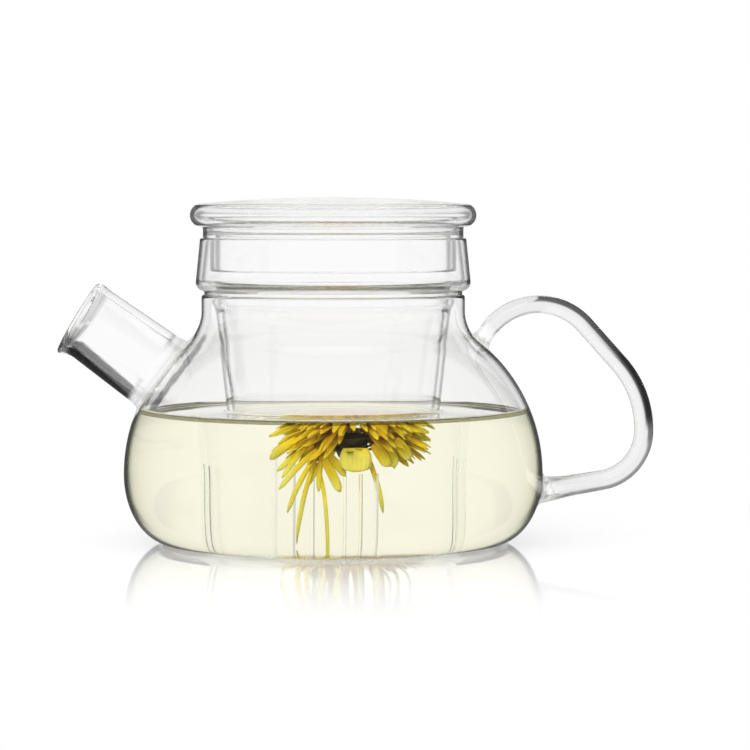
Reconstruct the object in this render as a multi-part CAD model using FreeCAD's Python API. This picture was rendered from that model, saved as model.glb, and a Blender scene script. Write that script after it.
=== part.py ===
# Glass teapot: a blown pot with a welded spout and rod handle, a lift-out glass infuser with cut slits,
# a hollow blown lid, and the tea and brewing flower that it holds.
# Millimetres. +Z is up, the origin is the centre of the base, the spout points towards -X.
import FreeCAD
import Part
import math
import os

Vector = FreeCAD.Vector
UP = Vector(0, 0, 1)
ORIGIN = Vector(0, 0, 0)

# Pot body
base_radius = 49.0
belly_radius = 62.8
belly_height = 20.5
shoulder_radius = 50.6
neck_radius = 39.4
neck_fillet = 12.0
rim_height = 74.2
pot_wall = 2.2
pot_floor = 2.6
rim_round_outside = 0.9
rim_round_inside = 0.4

# Spout: a slightly tapered tube that ends in a pouring lip, pulled down on its lower side
spout_height = 51.0
spout_angle = 36.0
spout_length = 29.2
spout_root_radius = 11.8
spout_tip_radius = 11.3
spout_wall = 2.0
lip_radius = 12.5
lip_length = 4.5
lip_drop = 0.6
lip_angle = 31.0
lip_round = 0.8
spout_weld_rise = 0.5
spout_weld_length = 3.0

# Handle: one bent rod from the top of the shoulder to the belly
handle_rod = 5.6
handle_stand_off = 30.4
handle_low_height = 15.1
handle_low_slope = 10.1
handle_knee_height = 45.0
handle_rise_angle = 54.5
handle_back_slope = 48.3
handle_top_bend = 18.6
handle_knee_bend = 29.6
handle_low_bend = 15.1
handle_weld_rise = 0.9
handle_weld_length = 2.4

# Infuser: a cup that stands on the pot's rim and a closed tube that hangs inside
cup_height = 16.8
cup_top_radius = 39.8
cup_low_radius = 41.4
cup_wall = 1.7
cup_corner = 3.2
cup_lift = 1.1
cup_rim_round = 0.45
seat_width = 1.4
mouth_clearance = 0.8
plug_depth = 2.4
tube_top_depth = 4.7
tube_top_radius = 35.2
tube_waist_height = 20.0
tube_waist_radius = 29.8
tube_bottom_radius = 29.5
tube_bottom_gap = 1.6
tube_wall = 1.6
tube_corner = 5.0
slit_groups = 4
slits_in_group = 3
slit_step_angle = 8.0
slit_turn_angle = 14.4
slit_width = 0.9
slit_length = 17.3
slit_foot = 1.0

# Lid: a hollow blown shape, open below, whose bulge is the grip
lid_wall = 1.6
lid_clearance = 1.2
lid_skirt_depth = 9.8
lid_skirt_round = 0.7
lid_neck_radius = 38.95
lid_neck_height = 3.4
lid_bulge_radius = 42.8
lid_bulge_height = 7.0
lid_crown = 1.9

# Tea and flower
tea_level = 39.0
tea_clearance = 0.3
flower_offset = 4.5
flower_radius = 19.5
flower_sink = 0.6
flower_core_radius = 7.5
flower_core_height = 6.0
petal_width = 4.2
petal_thickness = 0.8
petals_in_whorl = 16
petal_root_depth = 0.9
whorl_tilts = (-17.0, -4.0, 11.0)
whorl_shares = (1.0, 0.9, 0.72)
calyx_radius = 5.6
calyx_height = 4.2
long_petal_width = 2.4
long_petal_side = 7.0


def rz(radius, height):
    """A point of a profile, in the XZ plane."""
    return Vector(radius, 0, height)


def line(start, end):
    return Part.LineSegment(start, end).toShape()


def arc(start, middle, end):
    return Part.Arc(start, middle, end).toShape()


def centred_arc(centre, radius, start_angle, end_angle):
    """An arc in the XZ plane, with its angles in degrees from +X towards +Z."""
    ends = []
    for angle in (start_angle, (start_angle + end_angle) / 2, end_angle):
        turn = math.radians(angle)
        ends.append(centre + rz(radius * math.cos(turn), radius * math.sin(turn)))
    return arc(*ends)


def quarter_ellipse(centre, across, down):
    """The quarter from straight below the centre out to its right."""
    foot = centre - rz(0, down)
    side = centre + rz(across, 0)
    if down >= across:
        ellipse = Part.Ellipse(foot, side, centre)
    else:
        ellipse = Part.Ellipse(side, foot, centre)
    return Part.ArcOfEllipse(ellipse, 0, math.pi / 2).toShape()


def rounded(corners):
    """Edges of a run of (x, z, radius) corners, each turned by a tangent arc of its radius."""
    points = [rz(corner[0], corner[1]) for corner in corners]
    edges = []
    pen = points[0]
    for before, here, after, corner in zip(points, points[1:], points[2:], corners[1:]):
        radius = corner[2]
        if radius == 0:
            edges.append(line(pen, here))
            pen = here
            continue
        back = (before - here).normalize()
        ahead = (after - here).normalize()
        half = back.getAngle(ahead) / 2
        reach = radius / math.tan(half)
        centre = here + (back + ahead).normalize() * (radius / math.sin(half))
        start = here + back * reach
        end = here + ahead * reach
        middle = centre + (here - centre).normalize() * radius
        if pen.distanceToPoint(start) > 1e-6:
            edges.append(line(pen, start))
        edges.append(arc(start, middle, end))
        pen = end
    if pen.distanceToPoint(points[-1]) > 1e-6:
        edges.append(line(pen, points[-1]))
    return edges


def turned(edges):
    """The solid that a closed profile sweeps about the Z axis."""
    wire = Part.Wire(Part.__sortEdges__(edges))
    return Part.Face(wire).revolve(ORIGIN, UP, 360)


def first_solid(shape):
    return shape.removeSplitter().Solids[0]


# Shared points of the pot's outline: the shoulder arc runs into the neck's fillet at neck_turn
shoulder_centre = rz(belly_radius - shoulder_radius, belly_height)
neck_turn = math.degrees(
    math.acos((neck_radius + neck_fillet - shoulder_centre.x) / (shoulder_radius + neck_fillet))
)
neck_foot = belly_height + (shoulder_radius + neck_fillet) * math.sin(math.radians(neck_turn))
mouth_radius = neck_radius - pot_wall
fillet_centre = rz(neck_radius + neck_fillet, neck_foot)
cup_top = rim_height + cup_height


def pot_curve(inset, floor):
    """The pot's outline from its floor to the foot of its neck, set inwards by inset."""
    ellipse_centre = rz(base_radius, belly_height)
    return [
        quarter_ellipse(ellipse_centre, belly_radius - base_radius - inset, belly_height - floor),
        centred_arc(shoulder_centre, shoulder_radius - inset, 0, neck_turn),
        centred_arc(fillet_centre, neck_fillet + inset, 180 + neck_turn, 180),
    ]


def pot_form(inset, floor):
    """The pot filled solid, up to its rim."""
    neck = neck_radius - inset
    closing = [
        line(rz(neck, neck_foot), rz(neck, rim_height)),
        line(rz(neck, rim_height), rz(0, rim_height)),
        line(rz(0, rim_height), rz(0, floor)),
        line(rz(0, floor), rz(base_radius, floor)),
    ]
    return turned(pot_curve(inset, floor) + closing)


def outline_radius(height):
    """The pot's outer radius at a height on its lower curve or its shoulder."""
    if height < belly_height:
        share = (belly_height - height) / belly_height
        return base_radius + (belly_radius - base_radius) * math.sqrt(1 - share**2)
    return shoulder_centre.x + math.sqrt(shoulder_radius**2 - (height - belly_height) ** 2)


# Spout frame: the axis starts where it meets the body, and down_side points to the lip's lower side
spout_root = rz(-outline_radius(spout_height), spout_height)
spout_turn = math.radians(spout_angle)
spout_axis = rz(-math.cos(spout_turn), math.sin(spout_turn))
down_side = rz(-math.sin(spout_turn), -math.cos(spout_turn))
lip_axis = rz(-math.cos(math.radians(lip_angle)), math.sin(math.radians(lip_angle)))
lip_centre = spout_root + spout_axis * spout_length + down_side * lip_drop


def spout_form(inset, run_out):
    """The spout as a solid peg from inside the pot to its lip, set inwards by inset."""
    taper = (spout_root_radius - spout_tip_radius) / (spout_length - lip_length)
    inside = spout_root_radius * 2
    start = spout_root - spout_axis * inside
    start_radius = spout_root_radius + taper * inside - inset
    end_radius = spout_tip_radius - inset
    straight = spout_length - lip_length + inside
    peg = Part.makeCone(start_radius, end_radius, straight, start, spout_axis)
    tip = spout_root + spout_axis * (spout_length - lip_length)
    tip_wire = Part.Wire(Part.makeCircle(end_radius, tip, spout_axis))
    lip_wire = Part.Wire(Part.makeCircle(lip_radius - inset, lip_centre, lip_axis))
    flare = Part.makeLoft([tip_wire, lip_wire], True, True)
    form = peg.fuse(flare)
    if run_out:
        form = form.fuse(Part.makeCylinder(lip_radius - inset, run_out, lip_centre, lip_axis))
    return form


def weld_foot(root, axis, radius, rise, length):
    """A flared collar of glass where a tube or rod is welded to the body."""
    start = root - axis * length
    return Part.makeCone(radius + 2 * rise, radius, 2 * length, start, axis)


def make_spout():
    tube = spout_form(0, 0)
    tube = tube.fuse(weld_foot(spout_root, spout_axis, spout_root_radius, spout_weld_rise, spout_weld_length))
    tube = tube.cut(spout_form(spout_wall, spout_wall))
    tube = tube.cut(pot_form(0, 0))
    tube = max(tube.Solids, key=lambda solid: solid.Volume)
    mouth = [
        edge
        for edge in tube.Edges
        if all(abs((vertex.Point - lip_centre).dot(lip_axis)) < 1e-3 for vertex in edge.Vertexes)
        and abs((edge.CenterOfMass - lip_centre).dot(lip_axis)) < 1e-3
    ]
    return tube.makeFillet(min(lip_round, 0.45 * spout_wall), mouth)


def make_pot_body():
    rim = [
        (neck_radius, neck_foot, 0),
        (neck_radius, rim_height, rim_round_outside),
        (mouth_radius, rim_height, rim_round_inside),
        (mouth_radius, neck_foot, 0),
    ]
    floors = [
        line(rz(base_radius, pot_floor), rz(0, pot_floor)),
        line(rz(0, pot_floor), ORIGIN),
        line(ORIGIN, rz(base_radius, 0)),
    ]
    edges = pot_curve(0, 0) + rounded(rim) + pot_curve(pot_wall, pot_floor) + floors
    return turned(edges).cut(spout_form(spout_wall, 0))


def handle_route():
    """The rod's corners with their bends, from the shoulder's top round to the belly."""
    turn = math.radians(neck_turn)
    start = shoulder_centre + rz(shoulder_radius * math.cos(turn), shoulder_radius * math.sin(turn))
    grip = belly_radius + handle_stand_off
    rise = math.tan(math.radians(handle_rise_angle))
    fall = math.tan(math.radians(handle_back_slope))
    top_x = (handle_knee_height + fall * grip - start.z + rise * start.x) / (rise + fall)
    top_z = start.z + rise * (top_x - start.x)
    end_x = outline_radius(handle_low_height)
    low_z = handle_low_height + (grip - end_x) * math.tan(math.radians(handle_low_slope))
    knee_reach = handle_knee_bend * math.tan(math.radians(90 - handle_back_slope) / 2)
    low_reach = handle_low_bend * math.tan(math.radians(90 - handle_low_slope) / 2)
    room = min(1, 0.98 * (handle_knee_height - low_z) / (knee_reach + low_reach))
    return [
        (start.x, start.z, 0),
        (top_x, top_z, handle_top_bend),
        (grip, handle_knee_height, handle_knee_bend * room),
        (grip, low_z, handle_low_bend * room),
        (end_x, handle_low_height, 0),
    ]


def make_handle():
    route = handle_route()
    radius = handle_rod / 2
    ends = []
    for here, after in ((route[0], route[1]), (route[-1], route[-2])):
        root = rz(here[0], here[1])
        ends.append((root, (rz(after[0], after[1]) - root).normalize()))
    # Both ends run on into the body, which then cuts them to its own curve
    sunk = [root - axis * handle_rod for root, axis in ends]
    corners = [(sunk[0].x, sunk[0].z, 0)] + route[1:-1] + [(sunk[1].x, sunk[1].z, 0)]
    path = Part.Wire(rounded(corners))
    section = Part.Wire(Part.makeCircle(radius, sunk[0], ends[0][1]))
    rod = path.makePipeShell([section], True, False)
    for root, axis in ends:
        rod = rod.fuse(weld_foot(root, axis, radius, handle_weld_rise, handle_weld_length))
    rod = rod.cut(pot_form(0, 0))
    return max(rod.Solids, key=lambda solid: solid.Volume)


def tube_corners(inset, corner):
    """The infuser tube's outline from its top down to its floor, set inwards by inset."""
    bottom = pot_floor + tube_bottom_gap + inset
    return [
        (tube_top_radius - inset, rim_height - tube_top_depth, 0),
        (tube_waist_radius - inset, tube_waist_height, 0),
        (tube_bottom_radius - inset, bottom, corner),
        (0, bottom, 0),
    ]


def slit_cutters():
    """Upright slits in groups round the tube's foot; the front group is turned towards +X."""
    cutters = []
    near = tube_bottom_radius - tube_corner
    depth = tube_waist_radius * 1.2 - near
    foot = pot_floor + tube_bottom_gap + slit_foot
    for group in range(slit_groups):
        for place in range(slits_in_group):
            step = (place - (slits_in_group - 1) / 2) * slit_step_angle
            angle = group * 360 / slit_groups + slit_turn_angle + step
            blade = Part.makeBox(
                slit_width, depth, slit_length, Vector(-slit_width / 2, -near - depth, foot)
            )
            blade.rotate(ORIGIN, UP, angle)
            cutters.append(blade)
    return cutters


def make_infuser():
    plug_radius = mouth_radius - mouth_clearance
    seat_radius = mouth_radius + seat_width
    underside = rim_height + cup_lift
    plug_foot = rim_height - plug_depth
    outside = [
        (cup_top_radius, cup_top - cup_rim_round * 3, 0),
        (cup_low_radius, underside, cup_corner),
        (seat_radius, underside, 0),
        (seat_radius, rim_height, 0),
        (plug_radius, rim_height, 0),
        (plug_radius, plug_foot, 0),
    ] + tube_corners(0, tube_corner)
    inside = [
        (cup_top_radius - cup_wall, cup_top - cup_rim_round * 3, 0),
        (cup_low_radius - cup_wall, underside + cup_wall, max(cup_corner - cup_wall, 0.5)),
        (plug_radius - tube_wall, underside + cup_wall, cup_wall),
        (plug_radius - tube_wall, plug_foot, 0),
    ] + tube_corners(tube_wall, tube_corner - tube_wall)
    rim = [
        (cup_top_radius, cup_top - cup_rim_round * 3, 0),
        (cup_top_radius, cup_top, cup_rim_round),
        (cup_top_radius - cup_wall, cup_top, cup_rim_round),
        (cup_top_radius - cup_wall, cup_top - cup_rim_round * 3, 0),
    ]
    bottom = pot_floor + tube_bottom_gap
    axis = [line(rz(0, bottom), rz(0, bottom + tube_wall))]
    glass = turned(rounded(outside) + rounded(inside) + rounded(rim) + axis)
    return glass.cut(slit_cutters())


def make_lid():
    skirt = cup_top_radius - cup_wall - lid_clearance
    bulge_foot = cup_top + lid_neck_height
    bulge_top = bulge_foot + lid_bulge_height
    bulge_middle = bulge_foot + lid_bulge_height / 2

    nose_radius = lid_bulge_height / 2
    nose_x = lid_bulge_radius - nose_radius
    # The bulge's underside turns in until it meets the neck, or ends level if the neck is narrower still
    lean = min(0.9, max(0, (lid_neck_radius - nose_x) / nose_radius))
    meet = math.degrees(math.acos(lean))
    meet_height = bulge_middle - nose_radius * math.sin(math.radians(meet))

    def shell(inset, end):
        """Crown and bulge, set inwards by inset, from the axis to the end angle below the bulge."""
        centre = rz(nose_x, bulge_middle)
        dome_radius = (centre.x**2 + lid_crown**2) / (2 * lid_crown)
        dome_centre = rz(0, bulge_top + lid_crown - inset - dome_radius)
        side = math.degrees(math.asin(centre.x / dome_radius))
        return [
            centred_arc(dome_centre, dome_radius, 90, 90 - side),
            centred_arc(centre, nose_radius - inset, 90, -end),
        ]

    outside = [
        (nose_x + nose_radius * lean, meet_height, 0),
        (lid_neck_radius, cup_top, 0),
        (skirt, cup_top, 0),
        (skirt, cup_top - lid_skirt_depth, lid_skirt_round),
        (skirt - lid_wall, cup_top - lid_skirt_depth, lid_skirt_round),
        (skirt - lid_wall, cup_top + lid_wall, 0),
        (lid_neck_radius - lid_wall, cup_top + lid_wall, 0),
        (lid_neck_radius - lid_wall, bulge_foot + lid_wall, 0),
        (nose_x, bulge_foot + lid_wall, 0),
    ]
    crown = bulge_top + lid_crown
    axis = [line(rz(0, crown), rz(0, crown - lid_wall))]
    return turned(shell(0, meet) + rounded(outside) + shell(lid_wall, 90) + axis)


# Flower frame: it floats off centre, just under the surface
flower_top = tea_level - flower_sink
flower_middle = Vector(flower_offset, 0, flower_top - flower_core_height / 2)
petal_foot = flower_top - flower_core_height
infuser_floor = pot_floor + tube_bottom_gap + tube_wall


def petal(length, tilt, angle):
    """One flat petal with a round tip, tilted up by tilt and turned about the flower's axis."""
    half = petal_width / 2
    start = flower_core_radius - petal_root_depth
    root = Vector(start, -half / 2, 0)
    side = Vector(length - half, -half, 0)
    tip = Vector(length, 0, 0)
    far_side = Vector(length - half, half, 0)
    far_root = Vector(start, half / 2, 0)
    edges = [line(root, side), arc(side, tip, far_side), line(far_side, far_root), line(far_root, root)]
    blade = Part.Face(Part.Wire(edges)).extrude(Vector(0, 0, petal_thickness))
    blade.translate(Vector(0, 0, -petal_thickness / 2))
    blade.rotate(ORIGIN, Vector(0, 1, 0), -tilt)
    blade.rotate(ORIGIN, UP, angle)
    blade.translate(flower_middle)
    return blade


def long_petal():
    """The petal that hangs from the head down to the infuser's floor."""
    drop = petal_foot + flower_core_height / 3 - infuser_floor
    corner = Vector(
        flower_offset - long_petal_side - long_petal_width / 2,
        -petal_thickness / 2,
        infuser_floor,
    )
    return Part.makeBox(long_petal_width, petal_thickness, drop, corner)


def make_flower_petals():
    head = Part.makeCylinder(
        flower_core_radius, flower_core_height, Vector(flower_offset, 0, petal_foot)
    )
    head = head.makeFillet(flower_core_height / 3, [head.Edges[0]])
    blades = []
    step = 360 / petals_in_whorl
    for whorl, (tilt, share) in enumerate(zip(whorl_tilts, whorl_shares)):
        for place in range(petals_in_whorl):
            blades.append(petal(flower_radius * share, tilt, step * (place + whorl / 3)))
    blades.append(long_petal())
    return first_solid(head.multiFuse(blades))


def make_flower_calyx():
    middle = Vector(flower_offset, 0, petal_foot - calyx_height)
    cup = Part.makeCone(calyx_radius * 0.45, calyx_radius, calyx_height, middle)
    return cup.cut(long_petal())


def make_tea():
    pot_inside = pot_form(pot_wall, pot_floor)
    surface = Part.makeBox(
        belly_radius * 4, belly_radius * 4, rim_height,
        Vector(-belly_radius * 2, -belly_radius * 2, tea_level),
    )

    def tube_form(inset):
        """The infuser's tube filled solid, set inwards by inset."""
        corners = tube_corners(inset, tube_corner - inset)
        lid_edges = [
            line(rz(0, corners[0][1]), rz(corners[0][0], corners[0][1])),
            line(rz(0, corners[0][1]), rz(0, corners[-1][1])),
        ]
        return turned(rounded(corners) + lid_edges)

    outer_tea = pot_inside.cut(tube_form(-tea_clearance)).cut(surface)
    inner_tea = tube_form(tube_wall + tea_clearance).cut(surface)
    pocket_foot = petal_foot - calyx_height - tea_clearance
    pocket = Part.makeCylinder(
        flower_radius + tea_clearance, rim_height, Vector(flower_offset, 0, pocket_foot)
    )
    channel = Part.makeBox(
        long_petal_width + 2 * tea_clearance,
        petal_thickness + 2 * tea_clearance,
        tea_level,
        Vector(
            flower_offset - long_petal_side - long_petal_width / 2 - tea_clearance,
            -petal_thickness / 2 - tea_clearance,
            0,
        ),
    )
    inner_tea = inner_tea.cut(pocket).cut(channel)
    return Part.makeCompound(outer_tea.Solids + inner_tea.Solids)


pieces = {
    "pot_body": make_pot_body(),
    "spout": make_spout(),
    "handle": make_handle(),
    "infuser": make_infuser(),
    "lid": make_lid(),
    "tea": make_tea(),
    "flower_petals": make_flower_petals(),
    "flower_calyx": make_flower_calyx(),
}
os.makedirs("parts", exist_ok=True)
for node, shape in pieces.items():
    shape.exportStep(f"parts/{node}.step")
    print(node, len(shape.Solids), "solid", round(shape.Volume / 1000, 2), "ml", shape.isValid())
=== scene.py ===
import bmesh
import bpy
import math
import random
from mathutils import Matrix, Vector


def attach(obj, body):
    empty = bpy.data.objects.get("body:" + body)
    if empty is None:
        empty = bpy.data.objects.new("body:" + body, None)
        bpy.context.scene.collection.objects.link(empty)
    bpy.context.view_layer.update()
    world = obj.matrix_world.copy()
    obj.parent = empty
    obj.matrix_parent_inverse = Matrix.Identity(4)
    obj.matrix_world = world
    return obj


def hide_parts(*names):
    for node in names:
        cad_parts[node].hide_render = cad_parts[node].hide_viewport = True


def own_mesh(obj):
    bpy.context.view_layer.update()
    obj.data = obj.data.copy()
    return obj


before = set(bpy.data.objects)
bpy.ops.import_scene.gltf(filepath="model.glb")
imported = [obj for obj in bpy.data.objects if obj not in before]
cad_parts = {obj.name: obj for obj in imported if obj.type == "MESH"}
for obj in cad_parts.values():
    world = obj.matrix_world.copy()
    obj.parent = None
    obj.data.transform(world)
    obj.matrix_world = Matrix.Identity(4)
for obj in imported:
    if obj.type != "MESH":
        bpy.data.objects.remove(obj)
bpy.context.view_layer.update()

MM = 0.001
TURN_STEPS = 192
ACROSS = (0, -1, 0)

# Pot, in millimetres
BASE_RADIUS = 49.0
BASE_HOLLOW = 0.5
BELLY_RADIUS = 62.8
BELLY_HEIGHT = 20.5
SHOULDER_RADIUS = 50.6
NECK_RADIUS = 39.4
NECK_FILLET = 12.0
RIM_HEIGHT = 74.2
POT_WALL = 2.2
POT_FLOOR = 2.6
SHOULDER_X = BELLY_RADIUS - SHOULDER_RADIUS
NECK_REACH = SHOULDER_RADIUS + NECK_FILLET
NECK_TURN = math.degrees(math.acos((NECK_RADIUS + NECK_FILLET - SHOULDER_X) / NECK_REACH))
NECK_FOOT = BELLY_HEIGHT + NECK_REACH * math.sin(math.radians(NECK_TURN))
BELLY_STEPS = 24
SHOULDER_STEPS = 30
NECK_STEPS = 14

# Spout
SPOUT_HEIGHT = 51.0
SPOUT_ANGLE = 36.0
SPOUT_LENGTH = 29.2
SPOUT_ROOT = 11.8
SPOUT_TIP = 11.3
SPOUT_WALL = 2.0
SPOUT_SINK = 2.4
SPOUT_SKIRT = 1.0
SPOUT_STEPS = 96
LIP_RADIUS = 12.5
LIP_LENGTH = 4.5
LIP_BEND = 3
LIP_DROP = 0.6
LIP_TILT = 5.0

# Handle: the rod's corners as x, z and bend radius
ROD_THIN = 2.6
ROD_THICK = 3.0
ROD_SINK = 1.5
ROD_BEND_STEPS = 32
ROD_ROUTE = (
    (43.89, 59.95, 0),
    (59.89, 82.39, 18.6),
    (93.2, 45.0, 29.6),
    (93.2, 20.6, 15.1),
    (62.31, 15.1, 0),
)

# Infuser
CUP_TOP = 91.0
INFUSER_FLOOR = 5.8
INFUSER_BASE = 4.2
TUBE_FOOT = 29.8
TUBE_FOOT_HEIGHT = 20.0
TUBE_HEAD = 35.2
TUBE_HEAD_HEIGHT = 69.5
TUBE_WALL = 1.6
SLIT_WIDTH = 0.7
SLIT_FOOT = 5.2
SLIT_TALL = 17.3
SLIT_STEP = 8.0
SLIT_TURN = 14.4
REAR_SLIT_TURN = 17.2
CUT_TOP = 23.0

# Lid
LID_TOP = 103.3
DOME_RADIUS = 407.4
DOME_TURN = 5.53
GRIP_X = 39.3
GRIP_HEIGHT = 97.9

# Tea
TEA_LEVEL = 39.0
CLIMB = 0.9
CLIMB_REACH = 2.4
CLIMB_FALL = 3.2
TEA_OVERLAP = 0.3
LINE_DEPTH = 0.3
WET_TOP = TEA_LEVEL + CLIMB


def pen_down(mesh, x, z):
    """The first point of a profile in the XZ plane."""
    return mesh.verts.new((x, 0, z))


def draw_line(mesh, tip, x, z, steps=1):
    """Draws the profile on to a point, in equal steps."""
    start = tip.co.copy()
    end = Vector((x, 0, z))
    for step in range(steps):
        tip = bmesh.ops.extrude_vert_indiv(mesh, verts=[tip])["verts"][0]
        tip.co = start.lerp(end, (step + 1) / steps)
    return tip


def draw_arc(mesh, tip, x, z, degrees, steps, stretch=1.0):
    """Draws the profile round a centre; stretch narrows the arc towards the centre's upright line."""
    known = set(mesh.verts)
    made = bmesh.ops.spin(
        mesh, geom=[tip], cent=(x, 0, z), axis=ACROSS, angle=math.radians(degrees), steps=steps
    )
    if stretch != 1.0:
        fresh = [vert for vert in mesh.verts if vert not in known]
        bmesh.ops.scale(mesh, vec=(stretch, 1, 1), space=Matrix.Translation((-x, 0, -z)), verts=fresh)
    return made["geom_last"][0]


def draw_corners(mesh, tip, corners, arc_steps=6, longest=4.0):
    """Draws straight runs between (x, z, radius) corners and rounds each corner by an arc."""
    points = [tip.co.copy()] + [Vector((x, 0, z)) for x, z, radius in corners]
    for index, (x, z, radius) in enumerate(corners):
        here = points[index + 1]
        if radius == 0 or index == len(corners) - 1:
            steps = max(1, round((here - tip.co).length / longest))
            tip = draw_line(mesh, tip, here.x, here.z, steps)
            continue
        back = (points[index] - here).normalized()
        ahead = (points[index + 2] - here).normalized()
        half = back.angle(ahead) / 2
        reach = radius / math.tan(half)
        start = here + back * reach
        steps = max(1, round((start - tip.co).length / longest))
        if (start - tip.co).length > 1e-4:
            tip = draw_line(mesh, tip, start.x, start.z, steps)
        centre = here + (back + ahead).normalized() * (radius / math.sin(half))
        swing = 180 - math.degrees(2 * half)
        turn_left = (here - points[index]).cross(points[index + 2] - here).y < 0
        tip = draw_arc(mesh, tip, centre.x, centre.z, swing if turn_left else -swing, arc_steps)
    return tip


def turn_profile(mesh, steps=TURN_STEPS):
    """Turns the profile about the Z axis into a closed skin."""
    bmesh.ops.spin(
        mesh, geom=mesh.verts[:] + mesh.edges[:], cent=(0, 0, 0), axis=(0, 0, 1),
        angle=math.tau, steps=steps, use_merge=True,
    )
    close_skin(mesh)
    settle_order(mesh)


def close_skin(mesh):
    bmesh.ops.remove_doubles(mesh, verts=mesh.verts[:], dist=1e-4)
    bmesh.ops.recalc_face_normals(mesh, faces=mesh.faces[:])


def settle_order(mesh):
    """Puts points, edges and faces in an order that is the same on every run."""
    for rank, vert in enumerate(sorted(mesh.verts, key=lambda vert: vert.co[:])):
        vert.index = rank
    mesh.verts.sort()
    for parts in (mesh.edges, mesh.faces):
        ordered = sorted(parts, key=lambda part: sorted(vert.index for vert in part.verts))
        for rank, part in enumerate(ordered):
            part.index = rank
        parts.sort()


def as_object(name, mesh, sharp=50):
    """Puts a bmesh in millimetres into the scene in metres."""
    bmesh.ops.scale(mesh, vec=(MM, MM, MM), verts=mesh.verts[:])
    data = bpy.data.meshes.new(name)
    mesh.to_mesh(data)
    mesh.free()
    data.shade_smooth()
    data.set_sharp_from_angle(angle=math.radians(sharp))
    piece = bpy.data.objects.new(name, data)
    bpy.context.scene.collection.objects.link(piece)
    return piece


def apply_steps(piece):
    """Makes a piece's modifiers part of its mesh."""
    bpy.context.view_layer.update()
    graph = bpy.context.evaluated_depsgraph_get()
    data = bpy.data.meshes.new_from_object(piece.evaluated_get(graph))
    data.name = piece.name
    piece.modifiers.clear()
    piece.data = data


def combine(piece, other, operation):
    """Joins a second closed skin to a piece, or cuts it out, and drops the second."""
    step = piece.modifiers.new("weld", "BOOLEAN")
    step.object = other
    step.operation = operation
    step.solver = "EXACT"
    apply_steps(piece)
    bpy.data.objects.remove(other)


def place_piece(piece, body, slot, nodes, *materials):
    piece.data.materials.clear()
    for material in materials:
        piece.data.materials.append(material)
    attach(piece, body)
    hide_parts(*nodes)


def add_node(tree, kind, **values):
    made = tree.nodes.new(kind)
    for key, value in values.items():
        setattr(made, key, value)
    return made


def feed(tree, value, socket):
    """Links an output to a socket, or sets a plain value on it."""
    if isinstance(value, bpy.types.NodeSocket):
        tree.links.new(value, socket)
    else:
        socket.default_value = value


def work_out(tree, how, *values, **more):
    """A sum on outputs and plain values."""
    made = add_node(tree, "ShaderNodeMath", operation=how, **more)
    for socket, value in zip(made.inputs, values):
        feed(tree, value, socket)
    return made.outputs[0]


def map_value(tree, value, source, target, **more):
    """Maps a value from one range to another."""
    made = add_node(tree, "ShaderNodeMapRange", **more)
    feed(tree, value, made.inputs["Value"])
    for label, number in zip(("From Min", "From Max", "To Min", "To Max"), (*source, *target)):
        made.inputs[label].default_value = number
    return made.outputs["Result"]


def mix_colours(tree, share, first, second, how="MIX"):
    """Mixes two colours, each an output or a plain value, by a share."""
    made = add_node(tree, "ShaderNodeMix", data_type="RGBA", blend_type=how)
    feed(tree, share, made.inputs["Factor"])
    feed(tree, first, made.inputs["A"])
    feed(tree, second, made.inputs["B"])
    return made.outputs["Result"]


def ramp_colour(tree, place, stops):
    """The colour at a place from 0 to 1 between (position, colour) stops."""
    made = add_node(tree, "ShaderNodeValToRGB")
    ramp = made.color_ramp
    while len(ramp.elements) < len(stops):
        ramp.elements.new(0.5)
    for element, (position, colour) in zip(ramp.elements, stops):
        element.position = position
        element.color = (*colour, 1)
    tree.links.new(place, made.inputs["Fac"])
    return made.outputs["Color"]


def read_mark(tree, name):
    """The value of a named mark on the piece's vertices."""
    return add_node(tree, "ShaderNodeAttribute", attribute_name=name).outputs["Fac"]


def add_bump(tree, shader, height, strength, distance):
    """Lets a height raise the surface a little."""
    made = add_node(tree, "ShaderNodeBump")
    made.inputs["Strength"].default_value = strength
    made.inputs["Distance"].default_value = distance
    tree.links.new(height, made.inputs["Height"])
    tree.links.new(made.outputs["Normal"], shader.inputs["Normal"])


def mirror_rays(tree, path):
    """1 for a ray that was only mirrored, 0 for one that has passed through glass."""
    singular = path.outputs["Is Singular Ray"]
    return work_out(tree, "SUBTRACT", singular, path.outputs["Is Transmission Ray"], use_clamp=True)


def new_material(name):
    material = bpy.data.materials.new(name)
    material.use_nodes = True
    tree = material.node_tree
    return material, tree, tree.nodes["Principled BSDF"]


def new_group(name, inputs, outputs):
    """A shader node group with (name, kind, value) inputs and (name, kind) outputs."""
    group = bpy.data.node_groups.new(name, "ShaderNodeTree")
    for label, kind, value in inputs:
        socket = group.interface.new_socket(name=label, in_out="INPUT", socket_type=kind)
        socket.default_value = value
    for label, kind in outputs:
        group.interface.new_socket(name=label, in_out="OUTPUT", socket_type=kind)
    return group, add_node(group, "NodeGroupInput"), add_node(group, "NodeGroupOutput")


def place_group(tree, group, values):
    """Puts a node group into a material with the material's own values."""
    made = add_node(tree, "ShaderNodeGroup", node_tree=group)
    for label, value in values.items():
        feed(tree, value, made.inputs[label])
    return made


def grey(value):
    return (value, value, value)


FLOAT = "NodeSocketFloat"
COLOUR = "NodeSocketColor"
WHITE = (1, 1, 1, 1)


def make_glass_ripple():
    """The slow waves of blown glass, as a height."""
    group, given, result = new_group("glass_ripple", (("Fineness", FLOAT, 1.0),), (("Height", FLOAT),))
    place = add_node(group, "ShaderNodeTexCoord")
    noise = add_node(group, "ShaderNodeTexNoise")
    noise.inputs["Detail"].default_value = 0.0
    group.links.new(place.outputs["Object"], noise.inputs["Vector"])
    group.links.new(given.outputs["Fineness"], noise.inputs["Scale"])
    group.links.new(noise.outputs["Fac"], result.inputs["Height"])
    return group


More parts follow.
